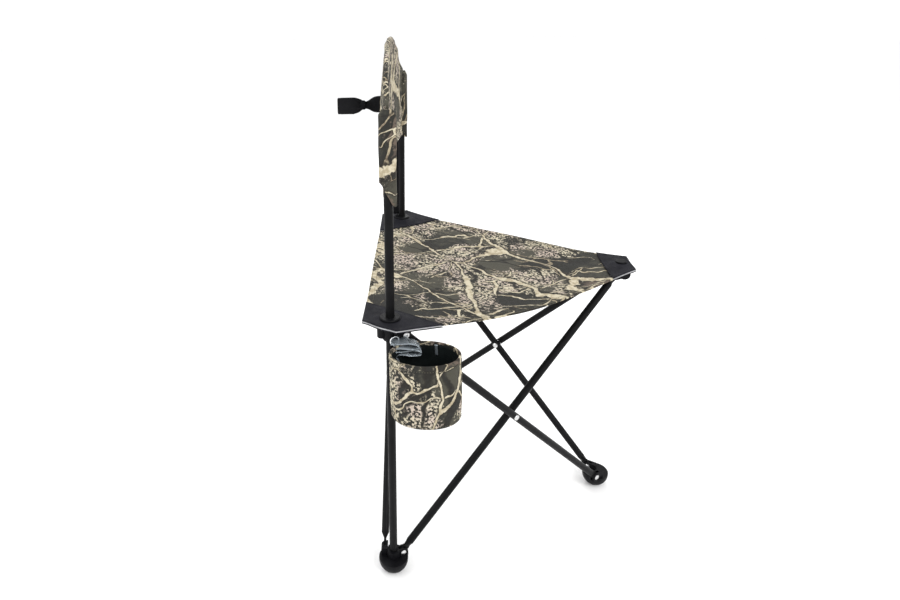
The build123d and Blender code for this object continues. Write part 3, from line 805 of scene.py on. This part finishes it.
# What holds each corner of the seat: how high it lifts the cloth, and where that fades out.
POST_FIXING = {"low": 439.8 * MM, "high": 443.0 * MM, "fade": (15 * MM, 34 * MM)}
STUD_FIXING = {"low": 437.6 * MM, "high": 439.9 * MM, "fade": (10 * MM, 26 * MM)}
SEAT_FIXING = {"left": POST_FIXING, "right": POST_FIXING, "front": STUD_FIXING}
# Grow, lower and upper height over the sheet's lower face, and material of each layer.
PATCH_LAYERS = (
    ("core", 0.6 * MM, 0.6 * MM, 2.4 * MM, edge_cloth),
    ("top", 0.0, 2.5 * MM, PATCH_TOP, black_cloth),
    ("under", 0.2 * MM, -1.2 * MM, 0.3 * MM, black_cloth),
)


def patch_area(corner):
    """Flat area of a patch: its four-sided outline and the bulge of its inner edge."""
    ends = [edge_point(corner, side, REACH[corner]) for side in (-1, 1)]
    outline = (outline_end(corner, -1), ends[0], ends[1], outline_end(corner, 1))
    return flat_area(outline) + PATCH_BULGE[corner] * (ends[1] - ends[0]).length * 2 / 3


def patch_seam(corner):
    """The line of stitches just inside a patch's inner edge."""
    line = []
    for j in range(PATCH_COLUMNS + 1):
        v = 0.93 * (2 * j / PATCH_COLUMNS - 1)
        along = REACH[corner] + PATCH_BULGE[corner] * (1 - v * v) - 3 * MM
        point = lerp(edge_point(corner, -1, along), edge_point(corner, 1, along), (v + 1) / 2)
        line.append(at_height(point, seat_low(point) + PATCH_TOP))
    return line


def make_patch(corner):
    """The three layers of a corner patch, two of black cloth over a pale core, and its stitches."""
    squash = ("fold", sideways(corner), tuple(CORNERS[corner]), PATCH_KEEP)
    for layer, grow, low_lift, high_lift, material in PATCH_LAYERS:
        bulge = 0.0 if layer == "core" else PATCH_BULGE[corner]
        piece = patch_layer(corner, f"seat_corner_{layer}_{corner}", grow, low_lift, high_lift, bulge)
        replaced = [f"seat_patch_{corner}"] if layer == "core" else []
        dress(piece, material, f"{corner}_top", squash, replaced)
        patch_area(corner)
    seam = stitches(f"seat_corner_stitches_{corner}", [patch_seam(corner)], [UP])
    dress(seam, thread, f"{corner}_top", squash)


# -------------------- backrest


PANEL_REACH = SPAN / 2 - 4 * MM
PANEL_HALF = 3 * MM
PANEL_COLUMNS = 90
PANEL_ROWS = 44


def backrest_top(x):
    """Height of the arched upper edge at a distance from the middle."""
    edge = SPAN / 2 + SLEEVE_HALF_X
    rise = BACKREST_TOP_Z - SLEEVE_TOP_Z
    radius = (edge**2 + rise**2) / (2 * rise)
    return BACKREST_TOP_Z - radius + math.sqrt(radius**2 - x**2)


def backrest_bow(x, z):
    """How far the panel bows backwards, less so near its arched top."""
    fade = smooth(z, SLEEVE_TOP_Z - 20 * MM, BACKREST_TOP_Z)
    return BACKREST_BOW * (1 - (x / (SPAN / 2)) ** 2) * lerp(1.0, TOP_BOW_SHARE, fade)


def wrinkle(x, z):
    """Slack upright folds of the panel."""
    return noise.noise(Vector((x * 26, z * 9, 4.0))) * 1.6 * MM


def share_near_ends(share):
    """Closer rows near both ends of 0 to 1."""
    return share - math.sin(math.tau * share) * 0.1


def panel_pair(row, column):
    """The panel's back and front point at a row and column, closer together near its rims."""
    x = lerp(-PANEL_REACH, PANEL_REACH, column / PANEL_COLUMNS)
    bottom = SLEEVE_BOTTOM_Z + 1.5 * MM * math.sin(x * 38) + 3 * MM * (x / PANEL_REACH) ** 2
    top = backrest_top(x)
    z = lerp(bottom, top, share_near_ends(row / PANEL_ROWS))
    rim = min(z - bottom, top - z)
    pull = smooth(abs(x), PANEL_REACH * 0.72, PANEL_REACH)
    sewn = math.exp(-(((rim - RIM_SEAM) / (1.6 * MM)) ** 2))
    half = PANEL_HALF * edge_taper(rim * 0.6) * (1 - 0.45 * sewn)
    ruffle = pull * math.sin(z * 170 + math.copysign(1.3, x)) * 1.0 * MM
    y = backrest_bow(x, z) + wrinkle(x, z) + ruffle
    return BACK_MIDDLE + Vector((x, y + half, z)), BACK_MIDDLE + Vector((x, y - half, z))


def backrest_seam(edge, side):
    """Stitches along the top or bottom edge, on the panel's back or front."""
    line = []
    for x in spread(-PANEL_REACH * 0.95, PANEL_REACH * 0.95, PANEL_COLUMNS):
        z = backrest_top(x) - RIM_SEAM if edge == "top" else SLEEVE_BOTTOM_Z + 10 * MM
        y = backrest_bow(x, z) + wrinkle(x, z) + side * 1.8 * MM
        line.append(BACK_MIDDLE + Vector((x, y, z)))
    return line


def make_backrest():
    """The sewn panel: two layers of cloth over a thin pad, stitched round, bowed backwards."""
    panel = thin_shell("backrest_cover", PANEL_ROWS + 1, PANEL_COLUMNS + 1, panel_pair)
    dress(panel, backrest_camouflage, "left_leg", BACKREST_FOLD, ["backrest_panel"])
    seams = [(side, edge) for side in (-1, 1) for edge in ("top", "bottom")]
    lines = [backrest_seam(edge, side) for side, edge in seams]
    seam = stitches("backrest_stitches", lines, [Vector((0, side, 0)) for side, _ in seams])
    dress(seam, camouflage_thread, "left_leg", BACKREST_FOLD)


def make_sleeve(corner, body):
    """A flat tube of cloth over a post, cut at a slant below and sewn shut at its top."""
    axis = CORNERS[corner]
    count, levels = 48, 30

    def loop(share, inside):
        """The sleeve's flattened oval at a share of its height and a distance inside its surface."""
        points = []
        for k in range(count):
            turn = math.tau * k / count
            c, s = math.cos(turn), math.sin(turn)
            bottom = SLEEVE_BOTTOM_Z + SLEEVE_SLANT * smooth(s, -0.9, 1.0)
            z = lerp(bottom, SLEEVE_SEAM_Z, share)
            pinch = smooth(z, POST_TIP_Z, SLEEVE_SEAM_Z)
            half_x = lerp(SLEEVE_HALF_X, 2.6 * MM, pinch) - inside
            half_y = lerp(SLEEVE_HALF_Y, 7.2 * MM, pinch) - inside
            crease = noise.noise(Vector((c * 1.6, s * 1.6, z * 34 + len(corner)))) * 1.1 * MM
            crease *= 1 - pinch
            shape_x = math.copysign(abs(c) ** 0.8, c) * (half_x + crease * 0.6)
            shape_y = math.copysign(abs(s) ** 0.9, s) * (half_y + crease)
            points.append(axis + Vector((shape_x, shape_y, z)))
        return points

    loops = [loop(0.92 * (1 - k / levels), SLEEVE_WALL) for k in range(levels + 1)]
    loops += [loop(k / levels, 0.0) for k in range(levels + 1)]
    sleeve = ring_shell(f"backrest_sleeve_{corner}", loops)
    dress(sleeve, sleeve_camouflage, body)
    lines = [[axis + place_on_hem for place_on_hem in sleeve_hem(side)] for side in (-1, 1)]
    ups = [Vector((side, 0, 0)) for side in (-1, 1)]
    seam = stitches(f"backrest_sleeve_stitches_{corner}", lines, ups)
    dress(seam, camouflage_thread, body)


def sleeve_hem(side):
    """Points over a sleeve's slanted lower edge, on one of its flat sides."""
    across = spread(-7 * MM, 7 * MM, 12)
    x = side * (SLEEVE_HALF_X - 0.9 * MM)
    return [Vector((x, y, lower_edge(y) + 6 * MM)) for y in across]


def lower_edge(y):
    """Height of that slanted edge."""
    return SLEEVE_BOTTOM_Z + SLEEVE_SLANT * smooth(y / SLEEVE_HALF_Y, -0.9, 1.0)


# -------------------- straps


CLOSURE_STEPS = 44
CLOSURE_WAIST = 0.42
CLOSURE_SEWN_IN = 6 * MM


def make_closure_strap():
    """Webbing that stands out of the backrest, gathered at a waist, with a folded end."""
    low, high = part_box("closure_strap")
    middle = node_middle("closure_strap")
    length = high[1] - low[1]
    waist_y = low[1] + length * CLOSURE_WAIST
    line, across, halves = [], [], []
    for k in range(CLOSURE_STEPS + 1):
        share = k / CLOSURE_STEPS
        waist = math.exp(-(((share - CLOSURE_WAIST) / 0.13) ** 2))
        x = middle.x + 1.6 * MM * math.sin(share * 7)
        y = low[1] - CLOSURE_SEWN_IN + (length + CLOSURE_SEWN_IN) * share
        line.append(Vector((x, y, middle.z - 3.0 * MM * share)))
        across.append(Vector((0.1 + 0.45 * waist, 0, 1)))
        halves.append(lerp(12.2 * MM, 5.6 * MM, waist) * (1 - 0.1 * smooth(share, 0.93, 1.0)))
    strap = strip("closure_webbing", line, across, halves, 1.5 * MM, 13)
    pleat(strap, waist_y, 9 * MM, middle)
    dress(strap, black_webbing, "left_leg", BACKREST_FOLD, ["closure_strap"])
    steps = spread(-4 * MM, 4 * MM, 6)
    keeper_line = [Vector((middle.x, waist_y + step, middle.z - 1.3 * MM)) for step in steps]
    keeper = ring_band("closure_keeper", keeper_line, 3.6 * MM, 7.0 * MM)
    steps = spread(0.5 * MM, 25 * MM, 12)
    tab_line = [Vector((middle.x + 1.5 * MM, high[1] - step, middle.z - 3 * MM)) for step in steps]
    tab = strip("closure_end_tab", tab_line, [Vector((0.1, 0, 1))] * 13, [12.0 * MM] * 13, 1.3 * MM)
    for piece in (keeper, tab):
        dress(piece, black_webbing, "left_leg", BACKREST_FOLD)


def pleat(piece, y, reach, middle):
    """Gather a strap into small folds round one place."""
    for vertex in piece.data.vertices:
        near = math.exp(-(((vertex.co.y - y) / reach) ** 2))
        vertex.co.x += near * 1.8 * MM * math.sin((vertex.co.z - middle.z) * 1250)


def ring_band(name, line, half_x, half_z):
    """A narrow band round a strap, with rounded edges."""
    loops = []
    turns = [math.tau * q / 24 for q in range(24)]
    for k, point in enumerate(line):
        share = k / (len(line) - 1)
        swell = 0.72 + 0.28 * math.sin(math.pi * share) ** 0.5
        x, z = half_x * swell, half_z * swell
        loops.append([point + Vector((math.cos(turn) * x, 0, math.sin(turn) * z)) for turn in turns])
    return ring_shell(name, loops)


def make_carry_strap():
    """Webbing down the outside of the right post, a little slack between its ends."""
    low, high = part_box("carry_strap")
    middle = node_middle("carry_strap")
    steps = 48
    line = []
    for k in range(steps + 1):
        share = k / steps
        slack = 1.6 * MM * math.sin(math.pi * share) * math.sin(share * 9)
        y = middle.y + 0.8 * MM * math.sin(share * 5)
        line.append(Vector((middle.x + slack, y, lerp(low[2], high[2], share))))
    across = [Vector((0, 1, 0))] * len(line)
    strap = strip("carry_webbing", line, across, [12.4 * MM] * len(line), 0.9 * MM, 13)
    squash = ("fold", (0, 0, 1), (middle.x, middle.y, high[2]), 0.15)
    dress(strap, black_webbing, "right_leg", squash, ["carry_strap"])


# -------------------- cup holder

CUP = node_middle("cup_shell")
CUP_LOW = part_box("cup_shell")[0][2]
CUP_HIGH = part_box("cup_shell")[1][2]
CUP_HALF_X = 33 * MM
CUP_HALF_Y = 46 * MM
CUP_WALL = 1.8 * MM
CUP_HEM_LOW = CUP_HIGH - 8 * MM
CUP_STITCH_PITCH = 3.4 * MM
CUP_STITCH_SHARE = 0.7
# Where the inner tape hangs, counted in steps of five degrees round the cup.
INNER_TAPE_PLACE = 68


def cup_loop(z, grow, count=72):
    """The pocket's oval at a height: a soft barrel that leans a little as it hangs."""
    share = min(1.0, max(0.0, (z - CUP_LOW) / (CUP_HIGH - CUP_LOW)))
    free = math.sin(math.pi * share)
    lean = -2.5 * MM * (1 - share)
    points = []
    for k in range(count):
        turn = math.tau * k / count
        c, s = math.cos(turn), math.sin(turn)
        dent = noise.noise(Vector((c * 2.2, s * 2.2, z * 24)))
        out = grow + (1.2 * MM + dent * 1.3 * MM) * free
        x, y = c * (CUP_HALF_X + out), s * (CUP_HALF_Y + out)
        points.append(Vector((CUP.x + x, CUP.y + lean + y, z)))
    return points


def cup_floor(z, inset, shares):
    """Loops across the pocket's bottom at a height, each a share of the way to its middle."""
    return [cup_loop(z, -inset - CUP_HALF_X * share) for share in shares]


def make_pocket():
    """The camouflage pocket: its bottom, its wall up to the rim and its inside down again."""
    levels = spread(CUP_LOW + 3 * MM, CUP_HIGH, 26)
    loops = cup_floor(CUP_LOW, 0.0, (0.8, 0.5, 0.25, 0.1, 0.05))
    loops += [cup_loop(CUP_LOW + 0.5 * MM, -1.0 * MM), cup_loop(CUP_LOW + 1.4 * MM, -0.3 * MM)]
    loops += [cup_loop(z, 0.0) for z in levels]
    loops += [cup_loop(CUP_HIGH + 0.5 * MM, -CUP_WALL / 2)]
    loops += [cup_loop(z, -CUP_WALL) for z in reversed(levels)]
    loops += cup_floor(CUP_LOW + 2 * MM, CUP_WALL, (0.05, 0.3, 0.7))
    pocket = ring_shell("cup_pocket", loops)
    return dress(pocket, cup_camouflage, "cup", None, ["cup_shell"])


def make_lining():
    """The black lining, a thinner pocket just inside the first."""
    levels = spread(CUP_LOW + 4.5 * MM, CUP_HIGH - 1.5 * MM, 20)
    gap = CUP_WALL + 0.1 * MM
    loops = cup_floor(CUP_LOW + 3 * MM, gap, (0.8, 0.4, 0.04))
    loops += [cup_loop(z, -gap) for z in levels]
    loops += [cup_loop(z, -gap - 0.6 * MM) for z in reversed(levels)]
    loops += cup_floor(CUP_LOW + 4 * MM, gap + 1.0 * MM, (0.04, 0.4, 0.8))
    lining = ring_shell("cup_inside", loops)
    dress(lining, lining_cloth, "cup", None, ["cup_lining"])


def make_cup_hem():
    """The hem turned over the rim, outside and in."""
    inner_low = CUP_HIGH - 5 * MM
    rim = CUP_HIGH + 0.5 * MM
    loops = [cup_loop(CUP_HEM_LOW, 0.1 * MM)]
    loops += [cup_loop(z, 0.5 * MM) for z in spread(CUP_HEM_LOW, rim, 8)]
    loops += [cup_loop(CUP_HIGH + 1.1 * MM, -CUP_WALL / 2)]
    loops += [cup_loop(z, -CUP_WALL - 0.7 * MM) for z in spread(rim, inner_low, 6)]
    loops += [cup_loop(inner_low, -CUP_WALL + 0.2 * MM), cup_loop(CUP_HEM_LOW, 0.05 * MM)]
    hem = closed_band("cup_hem", loops)
    return dress(hem, cup_camouflage, "cup", None, ["cup_binding"])


def make_cup_seams():
    """Stitches round the hem and round the bottom, each standing out from the wall."""
    short_lines, ups = [], []
    for z, grow in ((CUP_HEM_LOW + 1.6 * MM, 0.6 * MM), (CUP_LOW + 4 * MM, 0.2 * MM)):
        line = cup_loop(z, grow, 160)
        for start, end in stitch_ends(line + line[:1], CUP_STITCH_PITCH, CUP_STITCH_SHARE):
            out = (start + end) / 2 - CUP
            short_lines.append([start, end])
            ups.append(Vector((out.x, out.y, 0)).normalized())
    seam = stitches("cup_stitches", short_lines, ups, CUP_STITCH_PITCH * CUP_STITCH_SHARE)
    dress(seam, camouflage_thread, "cup")


def make_cup():
    """The camouflage pocket, its black lining, the turned hem at its rim and its seams."""
    pocket = make_pocket()
    make_lining()
    hem = make_cup_hem()
    make_cup_seams()


def make_hanger():
    """Shiny grey tape folded to and fro between the left collar and the cup's rim."""
    # How far each fold lies along Y from the post, and its height, in millimetres.
    folds = [(-2, 425), (-11, 424.5), (-25, 424.5), (-35, 422), (-39, 418.5), (-30, 417.5), (-16, 419.5),
             (-7, 418), (-7, 414), (-16, 412.5), (-32, 415), (-41, 412.5), (-40, 408.5), (-28, 407.5),
             (-16, 409), (-10, 405), (-13, 398), (-15, 383)]
    path = [LEFT + Vector((-22 * MM, y * MM, z * MM)) for y, z in folds]
    line = smooth_line(path, 8)
    across, halves = [], []
    for k, point in enumerate(line):
        share = k / (len(line) - 1)
        across.append(Vector((1, 0.12 * math.sin(share * 12), 0.1 * math.cos(share * 17))))
        halves.append(lerp(9.5, 8.5, share) * MM)
        point.x += 1.5 * MM * math.sin(share * 11)
    tape = strip("cup_hanger_webbing", line, across, halves, 0.7 * MM, 11)
    dress(tape, grey_webbing, "cup", None, ["cup_hanger_tab"])
    levels = spread(CUP_HIGH - 2 * MM, CUP_HIGH - 18 * MM, 10)
    edge = [cup_loop(z, -3.6 * MM)[INNER_TAPE_PLACE] for z in levels]
    tail = strip("cup_inner_tape", edge, [Vector((0.4, 1, 0))] * 11, [2.2 * MM] * 11, 0.5 * MM)
    dress(tail, grey_webbing, "cup")


# -------------------- stage, light and camera


def make_stage():
    mesh = bpy.data.meshes.new("floor")
    count, reach = 96, 14.0
    turns = [math.tau * k / count for k in range(count)]
    ring = [(math.cos(turn) * reach, math.sin(turn) * reach, 0) for turn in turns]
    mesh.from_pydata([(0, 0, 0), *ring], [], [(0, 1 + k, 1 + (k + 1) % count) for k in range(count)])
    floor = bpy.data.objects.new("floor", mesh)
    bpy.context.scene.collection.objects.link(floor)
    material, _, shader = new_material("floor_paper")
    shader.inputs["Base Color"].default_value = (0.93, 0.93, 0.93, 1)
    shader.inputs["Roughness"].default_value = 0.9
    floor.data.materials.append(material)


def make_light(name, place_at, aim, size, power):
    data = bpy.data.lights.new(name, "AREA")
    data.shape = "DISK"
    data.size = size
    data.energy = power
    lamp = bpy.data.objects.new(name, data)
    lamp.location = place_at
    lamp.rotation_euler = (Vector(aim) - Vector(place_at)).to_track_quat("-Z", "Y").to_euler()
    bpy.context.scene.collection.objects.link(lamp)


def make_lights():
    aim = (0, 0, 0.4)
    make_light("key", (-2.0, -1.6, 2.6), aim, 1.6, 50)
    make_light("fill", (-1.2, 2.4, 1.8), aim, 2.0, 24)
    make_light("back", (2.4, 0.4, 2.2), aim, 1.8, 28)
    world = bpy.data.worlds.new("studio")
    world.use_nodes = True
    world.node_tree.nodes["Background"].inputs["Color"].default_value = (1, 1, 1, 1)
    world.node_tree.nodes["Background"].inputs["Strength"].default_value = 1.08
    bpy.context.scene.world = world
    bpy.context.scene.view_settings.view_transform = "Standard"


CAMERA_PLACE = Vector((-0.9679, -0.047, 0.8469))
CAMERA_YAW = 0.062
CAMERA_PITCH = 0.384
CAMERA_ROLL = -0.015


def make_camera():
    """The camera stands to the stool's left, looks a little down and is hardly rolled."""
    yaw, pitch, roll = CAMERA_YAW, CAMERA_PITCH, CAMERA_ROLL
    level_share = math.cos(pitch)
    forward = Vector((level_share * math.cos(yaw), level_share * math.sin(yaw), -math.sin(pitch)))
    level = Vector((math.sin(yaw), -math.cos(yaw), 0))
    upright = level.cross(forward)
    right = level * math.cos(roll) + upright * math.sin(roll)
    up = upright * math.cos(roll) - level * math.sin(roll)
    data = bpy.data.cameras.new("camera")
    data.lens = 25.57
    data.sensor_width = 36.0
    data.shift_x = 0.0677
    data.shift_y = -0.0513
    camera = bpy.data.objects.new("camera", data)
    turn = Matrix((right, up, -forward)).transposed().to_4x4()
    camera.matrix_world = Matrix.Translation(BACK_MIDDLE + CAMERA_PLACE) @ turn
    bpy.context.scene.collection.objects.link(camera)
    bpy.context.scene.camera = camera


make_camera()
make_stage()
make_lights()
finish_cad_nodes()
for name in CORNERS:
    make_gore(name)
    make_patch(name)
make_backrest()
make_sleeve("left", "left_leg")
make_sleeve("right", "right_leg")
make_closure_strap()
make_carry_strap()
make_hanger()
make_cup()
